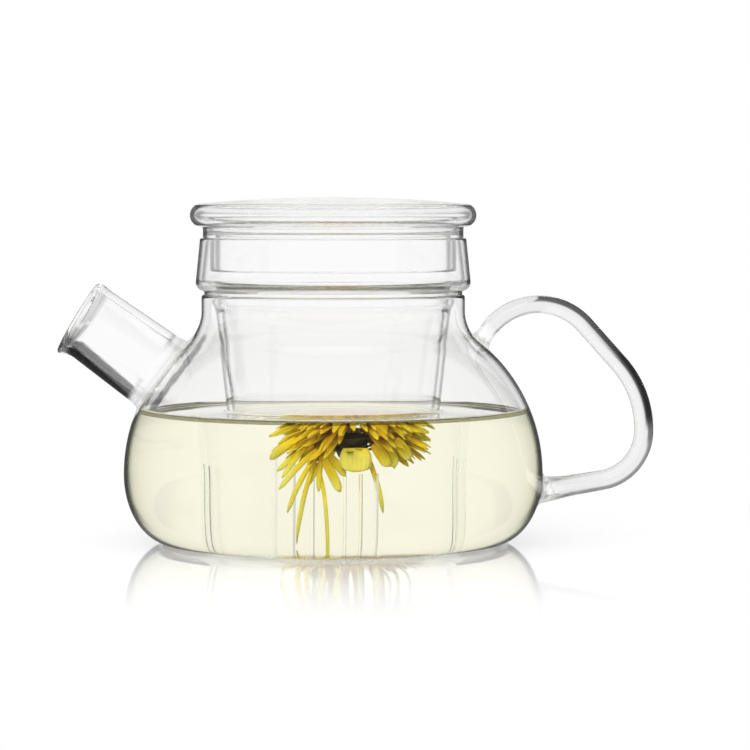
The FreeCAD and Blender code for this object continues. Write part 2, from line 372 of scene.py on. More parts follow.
def make_clear_marks():
    """What a piece's marks do: they lift the painted edge shade from plain faces, make faces satin, and
    thin the glass.
    """
    group, given, result = new_group(
        "clear_marks",
        (("Edge", COLOUR, WHITE), ("Clear", COLOUR, WHITE), ("Satin", FLOAT, 0.0)),
        (("Colour", COLOUR), ("Roughness", FLOAT), ("Cover", FLOAT)),
    )
    plain = read_mark(group, "plain")
    colour = mix_colours(group, plain, given.outputs["Edge"], given.outputs["Clear"])
    satin = work_out(group, "MULTIPLY", read_mark(group, "level"), given.outputs["Satin"])
    cover = work_out(group, "SUBTRACT", 1.0, read_mark(group, "faint"))
    for label, value in (("Colour", colour), ("Roughness", satin), ("Cover", cover)):
        group.links.new(value, result.inputs[label])
    return group


RIPPLE_FINENESS = 22.0
RIPPLE_HEIGHT = 0.002
RIPPLE = 0.02
LEVEL_ROUGHNESS = 0.05
# painted grey for the lip's ring and over the rod, as painted shade
RIM_SHADE = grey(0.1)
glass_ripple = make_glass_ripple()
clear_marks = make_clear_marks()


def clear_material(
    name, ior, stops, wave=0.0, marked=False, satin=0.0, shadow_pass=1.0, shade_band_stops=None, under=None
):
    """Clear glass or liquid whose colour is painted darker where it is seen edge on: painted shade."""
    material, tree, shader = new_material(name)
    shader.inputs["Roughness"].default_value = 0.0
    shader.inputs["IOR"].default_value = ior
    shader.inputs["Transmission Weight"].default_value = 1.0
    weight = add_node(tree, "ShaderNodeLayerWeight")
    weight.inputs["Blend"].default_value = 0.5
    facing = weight.outputs["Facing"]
    # painted shade: the colour darkens by how edge on the surface is seen
    edge = ramp_colour(tree, facing, stops)
    path = add_node(tree, "ShaderNodeLightPath")
    cover = work_out(tree, "MULTIPLY_ADD", path.outputs["Is Shadow Ray"], -shadow_pass, 1.0)
    # painted shade: the marked sides of the handle and spout darken sooner edge on, and the lip and rod get
    # a painted grey
    if shade_band_stops:
        painted_shade = ramp_colour(tree, facing, shade_band_stops)
        edge = mix_colours(tree, read_mark(tree, "painted_dark_side"), edge, painted_shade)
        edge = mix_colours(tree, read_mark(tree, "rim"), edge, (*RIM_SHADE, 1))
    if marked:
        marks = place_group(tree, clear_marks, {"Edge": edge, "Clear": (*stops[0][1], 1), "Satin": satin})
        edge = marks.outputs["Colour"]
    if satin:
        tree.links.new(marks.outputs["Roughness"], shader.inputs["Roughness"])
        cover = work_out(tree, "MULTIPLY", cover, marks.outputs["Cover"])
    if under:
        turned = add_node(tree, "ShaderNodeNewGeometry").outputs["Backfacing"]
        edge = mix_colours(tree, turned, edge, (*under, 1))
    # the painted edge shade is left off for light that has met a petal or the floor
    colour = mix_colours(tree, path.outputs["Diffuse Depth"], edge, WHITE)
    tree.links.new(colour, shader.inputs["Base Color"])
    tree.links.new(cover, shader.inputs["Alpha"])
    if wave:
        ripple = place_group(tree, glass_ripple, {"Fineness": RIPPLE_FINENESS})
        add_bump(tree, shader, ripple.outputs["Height"], wave, RIPPLE_HEIGHT)
    return material


POT_SHADOW_PASS = 0.94
CUT_ROUGHNESS = 0.12
# Colours from face on to edge on: painted shade that darkens the glass towards its outlines
POT_STOPS = (
    (0.0, grey(1.0)), (0.6, grey(0.99)), (0.75, grey(0.97)),
    (0.80, grey(0.6)), (0.835, grey(0.04)), (1.0, grey(0.015)),
)
INFUSER_STOPS = (
    (0.0, grey(1.0)), (0.6, grey(0.99)), (0.72, grey(0.95)),
    (0.77, grey(0.45)), (0.81, grey(0.04)), (1.0, grey(0.015)),
)
LID_STOPS = (
    (0.0, grey(1.0)), (0.55, grey(0.99)), (0.68, grey(0.94)),
    (0.73, grey(0.4)), (0.77, grey(0.03)), (1.0, grey(0.015)),
)
# the steeper painted shade for the dark sides of the handle and spout
SHADE_BAND_STOPS = (
    (0.0, grey(1.0)), (0.01, grey(0.6)), (0.025, grey(0.15)), (0.06, grey(0.012)), (0.2, grey(0.002)),
)
# the wet glass, painted a little darker edge on
WET_STOPS = ((0.0, grey(1.0)), (0.5, grey(0.99)), (0.75, grey(0.95)), (0.95, grey(0.88)))
TEA_TINT = (1.0, 0.98, 0.8)
# the tea's own tint, painted dark where its skin is seen edge on
TEA_STOPS = (
    (0.0, TEA_TINT), (0.2, (0.95, 0.93, 0.76)), (0.241, (0.9, 0.88, 0.71)), (0.256, (0.84, 0.82, 0.66)),
    (0.264, (0.76, 0.74, 0.58)), (0.27, (0.4, 0.39, 0.28)), (0.275, (0.06, 0.058, 0.025)),
)
# the tea's top, painted greyer where it is seen edge on
SURFACE_STOPS = (
    (0.0, TEA_TINT), (0.6, (0.98, 0.96, 0.82)), (0.82, (0.92, 0.91, 0.83)), (0.92, (0.85, 0.84, 0.79)),
)
# the slits' cut faces, painted darker edge on
CUT_STOPS = ((0.0, grey(1.0)), (0.5, grey(0.9)), (0.75, grey(0.35)), (0.95, grey(0.08)))
# a dark line painted where the tea's surface meets the glass: painted shade
SHADE_LINE_STOPS = ((0.0, (0.16, 0.15, 0.07)), (1.0, (0.1, 0.09, 0.04)))
DRY_IOR = 1.47
WET_IOR = 1.103
TEA_IOR = 1.333
SKIN_IOR = 1.001
pot_glass = clear_material(
    "pot_glass", DRY_IOR, POT_STOPS, RIPPLE, True, LEVEL_ROUGHNESS, POT_SHADOW_PASS, SHADE_BAND_STOPS
)
wet_pot = clear_material("pot_glass_wet", WET_IOR, WET_STOPS, 0.0, True, LEVEL_ROUGHNESS, POT_SHADOW_PASS)
infuser_glass = clear_material("infuser_glass", DRY_IOR, INFUSER_STOPS, RIPPLE, True, LEVEL_ROUGHNESS)
wet_glass = clear_material("infuser_glass_wet", WET_IOR, WET_STOPS, RIPPLE, True, LEVEL_ROUGHNESS)
cut_glass = clear_material("infuser_glass_cut", WET_IOR, CUT_STOPS)
cut_glass.node_tree.nodes["Principled BSDF"].inputs["Roughness"].default_value = CUT_ROUGHNESS
lid_glass = clear_material("lid_glass", DRY_IOR, LID_STOPS, RIPPLE, True, LEVEL_ROUGHNESS)
# the tea's skin against the glass bends no light of its own: the wet glass does that
tea_liquid = clear_material("tea_liquid", SKIN_IOR, TEA_STOPS, marked=True, under=TEA_TINT)
tea_surface = clear_material("tea_surface", TEA_IOR, SURFACE_STOPS)
# the painted dark strip round the tea's edge at the glass
tea_shade_line = clear_material("tea_shade_line", SKIN_IOR, SHADE_LINE_STOPS, under=grey(1))


def draw_foot(mesh, tip, inset, floor):
    """Draws the pot's lower wall from the belly down to the floor, set inwards by inset."""
    tall = BELLY_HEIGHT - floor
    squeeze = (BELLY_RADIUS - BASE_RADIUS - inset) / tall
    tip.co.x = BASE_RADIUS + tall
    known = set(mesh.verts)
    end = draw_arc(mesh, tip, BASE_RADIUS, BELLY_HEIGHT, -90, BELLY_STEPS)
    fresh = [vert for vert in mesh.verts if vert not in known]
    middle = Matrix.Translation((-BASE_RADIUS, 0, 0))
    bmesh.ops.scale(mesh, vec=(squeeze, 1, 1), space=middle, verts=fresh + [tip])
    return end


def make_pot_body():
    mesh = bmesh.new()
    tip = pen_down(mesh, 0, BASE_HOLLOW)
    for x, z, steps in ((20, 0.4, 5), (44, 0, 6), (BASE_RADIUS, 0, 2)):
        tip = draw_line(mesh, tip, x, z, steps)
    stretch = (BELLY_RADIUS - BASE_RADIUS) / BELLY_HEIGHT
    tip = draw_arc(mesh, tip, BASE_RADIUS, BELLY_HEIGHT, 90, BELLY_STEPS, stretch)
    tip = draw_arc(mesh, tip, SHOULDER_X, BELLY_HEIGHT, NECK_TURN, SHOULDER_STEPS)
    tip = draw_arc(mesh, tip, NECK_RADIUS + NECK_FILLET, NECK_FOOT, -NECK_TURN, NECK_STEPS)
    mouth = NECK_RADIUS - POT_WALL
    rim = (
        (NECK_RADIUS, RIM_HEIGHT, 0.9),
        (mouth, RIM_HEIGHT, 0.6),
        (mouth, NECK_FOOT, 0),
    )
    tip = draw_corners(mesh, tip, rim, 8, 1.5)
    tip = draw_arc(mesh, tip, NECK_RADIUS + NECK_FILLET, NECK_FOOT, NECK_TURN, NECK_STEPS)
    tip = draw_arc(mesh, tip, SHOULDER_X, BELLY_HEIGHT, -NECK_TURN, SHOULDER_STEPS)
    tip = draw_foot(mesh, tip, POT_WALL, POT_FLOOR)
    draw_line(mesh, tip, 0, POT_FLOOR, 12)
    turn_profile(mesh)
    return as_object("pot", mesh)


def body_radius(height):
    return SHOULDER_X + math.sqrt(SHOULDER_RADIUS ** 2 - (height - BELLY_HEIGHT) ** 2)


spout_turn = math.radians(SPOUT_ANGLE)
spout_axis = Vector((-math.cos(spout_turn), 0, math.sin(spout_turn)))
spout_down = Vector((-math.sin(spout_turn), 0, -math.cos(spout_turn)))
spout_start = Vector((-body_radius(SPOUT_HEIGHT), 0, SPOUT_HEIGHT))
spout_side = spout_axis.cross(spout_down)
spout_place = Matrix((
    (spout_down.x, spout_side.x, spout_axis.x, spout_start.x),
    (spout_down.y, spout_side.y, spout_axis.y, spout_start.y),
    (spout_down.z, spout_side.z, spout_axis.z, spout_start.z),
    (0, 0, 0, 1),
))


def make_spout():
    """A tapered tube with a rounded pouring lip, built along Z and then laid on the spout's axis."""
    mesh = bmesh.new()
    flare = SPOUT_LENGTH - LIP_LENGTH
    tip = pen_down(mesh, SPOUT_ROOT + SPOUT_SKIRT, -SPOUT_SINK)
    around = (
        (SPOUT_ROOT + 0.2, 1.2, 4.0),
        (SPOUT_TIP, flare, 9.0),
        (LIP_RADIUS, SPOUT_LENGTH, 1.15),
        (LIP_RADIUS - SPOUT_WALL - 0.5, SPOUT_LENGTH, 1.15),
        (SPOUT_TIP - SPOUT_WALL, flare, 9.0),
        (SPOUT_ROOT - SPOUT_WALL, -SPOUT_SINK, 0),
    )
    tip = draw_corners(mesh, tip, around, 8, 0.7)
    draw_line(mesh, tip, SPOUT_ROOT + SPOUT_SKIRT, -SPOUT_SINK, 2)
    turn_profile(mesh, SPOUT_STEPS)
    lip = [vert for vert in mesh.verts if vert.co.z > flare - LIP_BEND]
    for vert in lip:
        share = (vert.co.z - flare + LIP_BEND) / (LIP_LENGTH + LIP_BEND)
        tilt = Matrix.Rotation(math.radians(LIP_TILT) * share, 4, "Y")
        vert.co = tilt @ (vert.co - Vector((0, 0, flare))) + Vector((LIP_DROP * share ** 2, 0, flare))
    bmesh.ops.transform(mesh, matrix=spout_place, verts=mesh.verts[:])
    return as_object("spout_tube", mesh)


def make_spout_hole():
    """The plug that opens the body's wall into the spout."""
    mesh = bmesh.new()
    radius = SPOUT_ROOT - SPOUT_WALL - 0.1
    bmesh.ops.create_cone(
        mesh, cap_ends=True, segments=SPOUT_STEPS, radius1=radius, radius2=radius, depth=12
    )
    bmesh.ops.translate(mesh, vec=(0, 0, -5), verts=mesh.verts[:])
    bmesh.ops.transform(mesh, matrix=spout_place, verts=mesh.verts[:])
    return as_object("spout_hole", mesh)


def rod_path():
    """Points along the rod's middle line: straight runs and bends."""
    points = [Vector((x, 0, z)) for x, z, radius in ROD_ROUTE]
    first = (points[1] - points[0]).normalized()
    last = (points[-1] - points[-2]).normalized()
    path = [points[0] - first * ROD_SINK]
    for index in range(1, len(points) - 1):
        here = points[index]
        back = (points[index - 1] - here).normalized()
        ahead = (points[index + 1] - here).normalized()
        half = back.angle(ahead) / 2
        radius = ROD_ROUTE[index][2]
        centre = here + (back + ahead).normalized() * (radius / math.sin(half))
        arm = here + back * (radius / math.tan(half)) - centre
        swing = math.pi - 2 * half
        for step in range(ROD_BEND_STEPS + 1):
            path.append(centre + Matrix.Rotation(swing * step / ROD_BEND_STEPS, 3, "Y") @ arm)
    path.append(points[-1] + last * ROD_SINK)
    return path


def dense_rod_path():
    """The rod's middle line with its straight runs divided too, in millimetres."""
    path = rod_path()
    dense = []
    for start, end in zip(path, path[1:]):
        steps = max(1, round((end - start).length / 0.8))
        dense += [start.lerp(end, step / steps) for step in range(steps)]
    return dense + [path[-1]]


def make_handle():
    """The bent rod, a little thinner where it was drawn out at the top."""
    path = rod_path()
    curve = bpy.data.curves.new("rod", "CURVE")
    curve.dimensions = "3D"
    curve.bevel_depth = MM
    curve.bevel_resolution = 12
    curve.use_fill_caps = True
    spline = curve.splines.new("POLY")
    spline.points.add(len(path) - 1)
    for index, point in enumerate(path):
        spline.points[index].co = (*(point * MM), 1)
        spline.points[index].radius = ROD_THIN + (ROD_THICK - ROD_THIN) * index / (len(path) - 1)
    bent = bpy.data.objects.new("rod", curve)
    bpy.context.scene.collection.objects.link(bent)
    bpy.context.view_layer.update()
    graph = bpy.context.evaluated_depsgraph_get()
    data = bpy.data.meshes.new_from_object(bent.evaluated_get(graph))
    bpy.data.objects.remove(bent)
    mesh = bmesh.new()
    mesh.from_mesh(data)
    bmesh.ops.scale(mesh, vec=(1 / MM, 1 / MM, 1 / MM), verts=mesh.verts[:])
    close_skin(mesh)
    return as_object("handle_rod", mesh)


pot = make_pot_body()
combine(pot, make_spout_hole(), "DIFFERENCE")
combine(pot, make_spout(), "UNION")
combine(pot, make_handle(), "UNION")
pot.data.shade_smooth()
pot.data.set_sharp_from_angle(angle=math.radians(60))
place_piece(pot, "pot", "pot_glass", ("pot_body", "spout", "handle"), pot_glass)


def spout_reach(point):
    """How far along the spout's axis a point lies, and its offset from that axis, in millimetres."""
    from_start = point / MM - spout_start
    along = from_start.dot(spout_axis)
    return along, from_start - spout_axis * along


def fade(value, low, high):
    """0 below low, 1 above high and smooth between."""
    share = min(1.0, max(0.0, (value - low) / (high - low)))
    return share * share * (3 - 2 * share)


# Painted shade on the thick glass, by how far a point leans out of the loop or down from the spout
SPOUT_ZONE = 15
SPOUT_DARK = 0.99
SPOUT_LEAN = 0.84
SPOUT_LEAN_DROP = 0.22
SPOUT_LEAN_SOFT = 0.05
# the lip's painted grey ring, back from the tip: where it starts, is full, fades and is gone
LIP_RING = (3.9, 3.2, 1.9, 1.4)
LIP_GREY = 0.4
LIP_GREY_BELOW = 0.5
ROD_ZONE_X = 46
ROD_ZONE_Y = 4.5
ROD_CLEARANCE = 1.2
# painted grey over the whole rod
ROD_GREY = 0.14
ROD_LEAN = 0.54
ROD_LEAN_UPPER = 0.16
ROD_LEAN_BEND = 0.26
ROD_LEAN_SOFT = 0.08
ROD_DARK_LOWER = 0.88
ROD_INNER_DARK = 0.55
ROD_INNER_LOWER = 0.3

# Welds, and the level faces that stay clear
SOFT_ROUNDS = 6
SOFT_ROD = 6.5
WELD_FAINT = 0.8
LEVEL_FAINT = 0.6
LEDGE_LOW = 75.0
LEDGE_HIGH = 78.2
LEDGE_LEAN = -0.25
POT_INNER_CLEAR = 0.75
WET_FLOOR = 2.0
rod_roots = [Vector((x, 0, z)) for x, z, radius in (ROD_ROUTE[0], ROD_ROUTE[-1])]


def rod_lean(point, normal, path):
    """How far a point on the rod faces out of the handle's loop, and its share of the rod's length."""
    nearest = min(range(1, len(path) - 1), key=lambda index: (path[index] - point).length_squared)
    run = (path[nearest + 1] - path[nearest - 1]).normalized()
    outward = Vector((-run.z, 0, run.x))
    return normal.dot(outward), nearest / (len(path) - 1)


def new_marks(piece, *names):
    """Gives a piece's vertices named values, all 0 at first."""
    for name in names:
        piece.data.attributes.new(name, "FLOAT", "POINT")
    return [piece.data.attributes[name].data for name in names]


def spout_marks(along, offset, normal):
    """How much painted shade the spout's lower side gets at a point, and how much painted grey its lip
    gets.
    """
    band = 0.0
    if normal.dot(offset) > 0:
        start = SPOUT_LEAN - SPOUT_LEAN_DROP * min(1.0, along / SPOUT_LENGTH)
        band = SPOUT_DARK * fade(normal.dot(spout_down), start, start + SPOUT_LEAN_SOFT)
    starts, full, fades, gone = (SPOUT_LENGTH - back for back in LIP_RING)
    ring = fade(along, starts, full) * (1 - fade(along, fades, gone))
    return band, ring * (LIP_GREY + LIP_GREY_BELOW * fade(offset.dot(spout_down), -6, 9))


def rod_marks(point, normal, path):
    """How much painted shade the rod gets at a point, most on the outer side of its bend, and how much
    painted grey.
    """
    lean, share = rod_lean(point, normal, path)
    upper = 1 - fade(share, 0.55, 0.7)
    edge = ROD_LEAN - ROD_LEAN_UPPER * upper - ROD_LEAN_BEND * upper * fade(share, 0.15, 0.4)
    outer = fade(lean, edge - ROD_LEAN_SOFT, edge + ROD_LEAN_SOFT)
    outer *= ROD_DARK_LOWER + (1 - ROD_DARK_LOWER) * upper
    inner = fade(-lean, 0.62, 0.8) * (ROD_INNER_DARK + ROD_INNER_LOWER * fade(share, 0.5, 0.7))
    return max(outer, inner), ROD_GREY


def shade_dark_sides(piece):
    """Marks painted shade on the sides of the handle's bend and of the spout, and painted grey on the lip
    and the rod.
    """
    band, rim = new_marks(piece, "painted_dark_side", "rim")
    path = dense_rod_path()
    for index, vert in enumerate(piece.data.vertices):
        point = vert.co / MM
        along, offset = spout_reach(vert.co)
        if along > 1.0 and offset.length < SPOUT_ZONE:
            band[index].value, rim[index].value = spout_marks(along, offset, vert.normal)
        elif point.x > ROD_ZONE_X and abs(point.y) < ROD_ZONE_Y:
            wall = body_radius(max(BELLY_HEIGHT, min(60.0, point.z)))
            if math.hypot(point.x, point.y) - wall > ROD_CLEARANCE:
                band[index].value, rim[index].value = rod_marks(point, vert.normal, path)


def soften_welds(piece):
    """Rounds the glass where the spout and the rod meet the body."""
    mesh = bmesh.new()
    mesh.from_mesh(piece.data)
    welds = []
    for vert in mesh.verts:
        along, offset = spout_reach(vert.co)
        if -5 < along < 3.0 and 8.6 < offset.length < 15.5:
            welds.append(vert)
        elif any((vert.co / MM - root).length < SOFT_ROD for root in rod_roots):
            welds.append(vert)
    for step in range(SOFT_ROUNDS):
        bmesh.ops.smooth_vert(
            mesh, verts=welds, factor=0.5, use_axis_x=True, use_axis_y=True, use_axis_z=True
        )
    mesh.to_mesh(piece.data)
    mesh.free()


def faces_axis(normal, point):
    """True where a surface looks towards the pot's axis."""
    return normal.x * point.x + normal.y * point.y < 0


def mark_level(piece, inner_clear=0.0, low=0.93, high=0.985):
    """Marks level faces, which are kept free of the painted edge shade, and the inner wall, which is in
    part.
    """
    plain, level, faint = new_marks(piece, "plain", "level", "faint")
    for index, vert in enumerate(piece.data.vertices):
        flat = fade(abs(vert.normal.z), low, high)
        inward = faces_axis(vert.normal, vert.co)
        plain[index].value = max(flat, inner_clear if inward else 0.0)
        level[index].value = flat
        ledge = LEDGE_LOW * MM < vert.co.z < LEDGE_HIGH * MM and vert.normal.z < LEDGE_LEAN
        faint[index].value = LEVEL_FAINT * (1.0 if ledge else flat)


def mark_welds(piece):
    """Thins the glass where the rod's ends melt into the wall, and at the ring of the spout's root."""
    faint = piece.data.attributes["faint"].data
    for index, vert in enumerate(piece.data.vertices):
        value = max(1 - fade((vert.co / MM - root).length, 4.6, 7.0) for root in rod_roots)
        along, offset = spout_reach(vert.co)
        if -8 < along < 3.5 and 8.0 < offset.length < 17.0:
            value = max(value, 1 - fade(along, 1.5, 3.5))
        faint[index].value = max(faint[index].value, WELD_FAINT * value)


soften_welds(pot)
pot.data.shade_smooth()
shade_dark_sides(pot)
mark_level(pot, POT_INNER_CLEAR)
mark_welds(pot)
pot.data.materials.append(wet_pot)
for face in pot.data.polygons:
    inward = faces_axis(face.normal, face.center) or face.normal.z > 0.9
    inside = math.hypot(face.center.x, face.center.y) < (BELLY_RADIUS - 0.5 * POT_WALL) * MM
    wet = WET_FLOOR < face.center.z / MM < WET_TOP
    face.material_index = 1 if inward and inside and wet else 0


def make_infuser():
    """Cup, ledge and tapering tube in one wall, drawn from the middle of the base round to the floor."""
    mesh = bmesh.new()
    tip = pen_down(mesh, 0, INFUSER_BASE)
    around = (
        (29.5, INFUSER_BASE, 5.0),
        (TUBE_FOOT, TUBE_FOOT_HEIGHT, 40.0),
        (TUBE_HEAD, TUBE_HEAD_HEIGHT, 6.0),
        (36.4, 71.8, 1.5),
        (36.4, RIM_HEIGHT, 0.3),
        (38.6, RIM_HEIGHT, 0.3),
        (38.6, 75.3, 0.5),
        (41.4, 75.3, 2.6),
        (39.8, CUP_TOP, 0.45),
        (38.1, CUP_TOP, 0.45),
        (39.7, 77.0, 1.6),
        (34.8, 77.0, 1.7),
        (34.8, 71.8, 2.5),
        (TUBE_HEAD - TUBE_WALL, TUBE_HEAD_HEIGHT, 6.0),
        (TUBE_FOOT - TUBE_WALL, TUBE_FOOT_HEIGHT, 40.0),
        (27.9, INFUSER_FLOOR, 3.4),
        (0, INFUSER_FLOOR, 0),
    )
    draw_corners(mesh, tip, around, 8, 2.5)
    turn_profile(mesh)
    return as_object("infuser", mesh)


def make_slits():
    """Upright blades, four groups of three, that cut the tube's foot; the rear group sits further round."""
    mesh = bmesh.new()
    near = 24.5
    far = 36.0
    for group in range(4):
        for place in range(3):
            blade = bmesh.ops.create_cube(mesh, size=1)["verts"]
            bmesh.ops.scale(mesh, vec=(SLIT_WIDTH, far - near, SLIT_TALL), verts=blade)
            bmesh.ops.translate(mesh, vec=(0, -(far + near) / 2, SLIT_FOOT + SLIT_TALL / 2), verts=blade)
            turn = group * 90 + (REAR_SLIT_TURN if group == 2 else SLIT_TURN) + (place - 1) * SLIT_STEP
            about = Matrix.Rotation(math.radians(turn), 3, "Z")
            bmesh.ops.rotate(mesh, cent=(0, 0, 0), matrix=about, verts=blade)
    return as_object("slits", mesh)


infuser = make_infuser()
combine(infuser, make_slits(), "DIFFERENCE")
infuser.data.shade_smooth()
infuser.data.set_sharp_from_angle(angle=math.radians(40))
place_piece(infuser, "infuser", "infuser_glass", ("infuser",), infuser_glass, wet_glass, cut_glass)
mark_level(infuser)
for face in infuser.data.polygons:
    wet = face.center.z < WET_TOP * MM
    round_way = Vector((-face.center.y, face.center.x, 0)).normalized()
    cut = face.center.z < CUT_TOP * MM and abs(face.normal.dot(round_way)) > 0.8
    face.material_index = 2 if cut else 1 if wet else 0
    face.use_smooth = not cut


def make_lid():
    """Domed top, round grip bulge, narrow neck and open skirt in one wall."""
    mesh = bmesh.new()
    tip = pen_down(mesh, 0, LID_TOP)
    tip = draw_arc(mesh, tip, 0, LID_TOP - DOME_RADIUS, -DOME_TURN, 14)
    tip = draw_arc(mesh, tip, GRIP_X, GRIP_HEIGHT, -176, 24)
    skirt = (
        (38.95, 94.4, 0.5),
        (38.95, CUP_TOP, 0.3),
        (36.9, CUP_TOP, 0.3),
        (36.9, 81.2, 0.75),
        (35.3, 81.2, 0.75),
        (35.3, 92.6, 0.6),
        (37.35, 92.6, 0.6),
        (37.35, 96.0, 0.3),
        (GRIP_X, 96.0, 0),
    )
    tip = draw_corners(mesh, tip, skirt, 6, 1.5)
    tip = draw_arc(mesh, tip, GRIP_X, GRIP_HEIGHT, 180, 20)
    tip = draw_line(mesh, tip, 20.0, 101.2, 8)
    draw_line(mesh, tip, 0, 101.7, 6)
    turn_profile(mesh)
    return as_object("lid", mesh)


lid = make_lid()
place_piece(lid, "lid", "lid_glass", ("lid",), lid_glass)
mark_level(lid, low=0.86, high=0.96)


def tube_radius(height, inset):
    """The infuser tube's radius at a height, set inwards by inset."""
    share = (height - TUBE_FOOT_HEIGHT) / (TUBE_HEAD_HEIGHT - TUBE_FOOT_HEIGHT)
    return TUBE_FOOT - inset + (TUBE_HEAD - TUBE_FOOT) * share


def draw_climb(mesh, tip, wall, side, steps=7):
    """Draws the surface's edge where the tea clings to a wall: up towards it, or down away from it."""
    up = abs(tip.co.x - wall) > 0.5
    for step in range(steps + 1):
        share = step / steps
        gap = CLIMB_REACH * (1 - share) ** 2 if up else CLIMB_REACH * share ** 2
        rise = CLIMB * math.exp(-CLIMB_FALL * gap / CLIMB_REACH)
        tip = draw_line(mesh, tip, wall + side * gap, TEA_LEVEL + rise)
    return tip


def tea_edge():
    """The swing of the shoulder's arc up to the tea's upper edge, and the tea's radius there."""
    radius = SHOULDER_RADIUS - POT_WALL + TEA_OVERLAP
    swing = math.asin((WET_TOP - BELLY_HEIGHT) / radius)
    return swing, SHOULDER_X + math.cos(swing) * radius


def make_tea():
    """The liquid: its skin lies just inside the glass, and its edges climb the walls a little."""
    inset = POT_WALL - TEA_OVERLAP
    floor = POT_FLOOR - TEA_OVERLAP
    mesh = bmesh.new()
    tip = pen_down(mesh, 0, TEA_LEVEL)
    inner = tube_radius(TEA_LEVEL, TUBE_WALL) + 0.2
    outer = tube_radius(TEA_LEVEL, 0) - 0.1
    tip = draw_line(mesh, tip, inner - CLIMB_REACH - 1.2, TEA_LEVEL, 8)
    tip = draw_climb(mesh, tip, inner, -1)
    tip = draw_line(mesh, tip, outer, WET_TOP)
    tip = draw_climb(mesh, tip, outer, 1)
    swing, wall = tea_edge()
    tip = draw_line(mesh, tip, wall - TEA_OVERLAP - CLIMB_REACH, TEA_LEVEL, 8)
    tip = draw_climb(mesh, tip, wall - TEA_OVERLAP, -1)
    tip = draw_line(mesh, tip, wall, WET_TOP)
    strip = swing - math.asin((TEA_LEVEL - LINE_DEPTH - BELLY_HEIGHT) / (SHOULDER_RADIUS - inset))
    tip = draw_arc(mesh, tip, SHOULDER_X, BELLY_HEIGHT, -math.degrees(strip), 2)
    tip = draw_arc(mesh, tip, SHOULDER_X, BELLY_HEIGHT, -math.degrees(swing - strip), 16)
    tip = draw_foot(mesh, tip, inset, floor)
    draw_line(mesh, tip, 0, floor, 10)
    turn_profile(mesh)
    return as_object("tea", mesh)


tea = make_tea()
place_piece(tea, "pot", "tea_liquid", ("tea",), tea_liquid, tea_surface, tea_shade_line)
plain = new_marks(tea, "plain")[0]
for index, vert in enumerate(tea.data.vertices):
    upper = vert.co.z > (TEA_LEVEL - 0.2) * MM
    plain[index].value = fade(vert.normal.z, 0.02, 0.1) if upper else fade(-vert.normal.z, 0.35, 0.7)
line_radius = (tea_edge()[1] - 0.1) * MM
# faces of the top's outer strip get the painted dark line
for face in tea.data.polygons:
    upper = face.center.z > (TEA_LEVEL - LINE_DEPTH) * MM
    line = face.center.xy.length > line_radius
    face.material_index = (2 if line else 1) if upper else 0

FLOWER = Vector((4.5, 0.0, 34.6))
PETAL_CEILING = TEA_LEVEL - 0.5
PETAL_SHEET = 0.22
PETAL_STEPS = 20
PETAL_TIP = 0.75
PETAL_CUP = 0.2
CALYX_FRONT = math.radians(-84)
MOTTLE_FINENESS = 260.0
VEIN_FINENESS = 2.2
VEIN_STRENGTH = 0.4
VEIN_HEIGHT = 0.0002
chance = random.Random(7)


def make_petal_grain():
    """The place along a petal, shifted at random and by painted light, its mottling, and its veins as a
    height.
    """
    group, given, result = new_group(
        "petal_grain",
        (("Mottle Fineness", FLOAT, 1.0), ("Vein Fineness", FLOAT, 1.0)),
        (("Along", FLOAT), ("Shade", FLOAT), ("Height", FLOAT)),
    )
    uv = add_node(group, "ShaderNodeUVMap", uv_map="petal")
    split = add_node(group, "ShaderNodeSeparateXYZ")
    group.links.new(uv.outputs["UV"], split.inputs["Vector"])
    along = work_out(group, "MULTIPLY_ADD", split.outputs["Y"], 0.6, read_mark(group, "tone_and_shade"))
    place = add_node(group, "ShaderNodeTexCoord")
    mottle = add_node(group, "ShaderNodeTexNoise")
    mottle.inputs["Detail"].default_value = 3.0
    group.links.new(place.outputs["Object"], mottle.inputs["Vector"])
    group.links.new(given.outputs["Mottle Fineness"], mottle.inputs["Scale"])
    shade = map_value(group, mottle.outputs["Fac"], (0.25, 0.75), (0.8, 1.08))
    veins = add_node(group, "ShaderNodeTexWave", bands_direction="X")
    veins.inputs["Distortion"].default_value = 1.2
    group.links.new(uv.outputs["UV"], veins.inputs["Vector"])
    group.links.new(given.outputs["Vein Fineness"], veins.inputs["Scale"])
    for label, value in (("Along", along), ("Shade", shade), ("Height", veins.outputs["Fac"])):
        group.links.new(value, result.inputs[label])
    return group


petal_grain = make_petal_grain()


def petal_material(name, stops):
    """Petal colour along its length, shifted at random and by painted light, with fine veins and mottling.
    """
    material, tree, shader = new_material(name)
    values = {"Mottle Fineness": MOTTLE_FINENESS, "Vein Fineness": VEIN_FINENESS}
    grain = place_group(tree, petal_grain, values)
    tone_and_shade = ramp_colour(tree, grain.outputs["Along"], stops)
    colour = mix_colours(tree, 1.0, tone_and_shade, grain.outputs["Shade"], "MULTIPLY")
    tree.links.new(colour, shader.inputs["Base Color"])
    add_bump(tree, shader, grain.outputs["Height"], VEIN_STRENGTH, VEIN_HEIGHT)
    shader.inputs["Roughness"].default_value = 0.6
    shader.inputs["Specular IOR Level"].default_value = 0.2
    return material


PETAL_STOPS = (
    (0.0, (0.56, 0.22, 0.004)), (0.3, (0.80, 0.42, 0.006)), (0.6, (0.91, 0.62, 0.012)),
    (0.85, (0.90, 0.74, 0.03)), (1.0, (0.86, 0.78, 0.12)),
)
CALYX_STOPS = ((0.0, (0.035, 0.035, 0.008)), (0.6, (0.08, 0.075, 0.015)), (1.0, (0.18, 0.16, 0.03)))
petal_yellow = petal_material("petal_yellow", PETAL_STOPS)
calyx_green = petal_material("calyx_green", CALYX_STOPS)


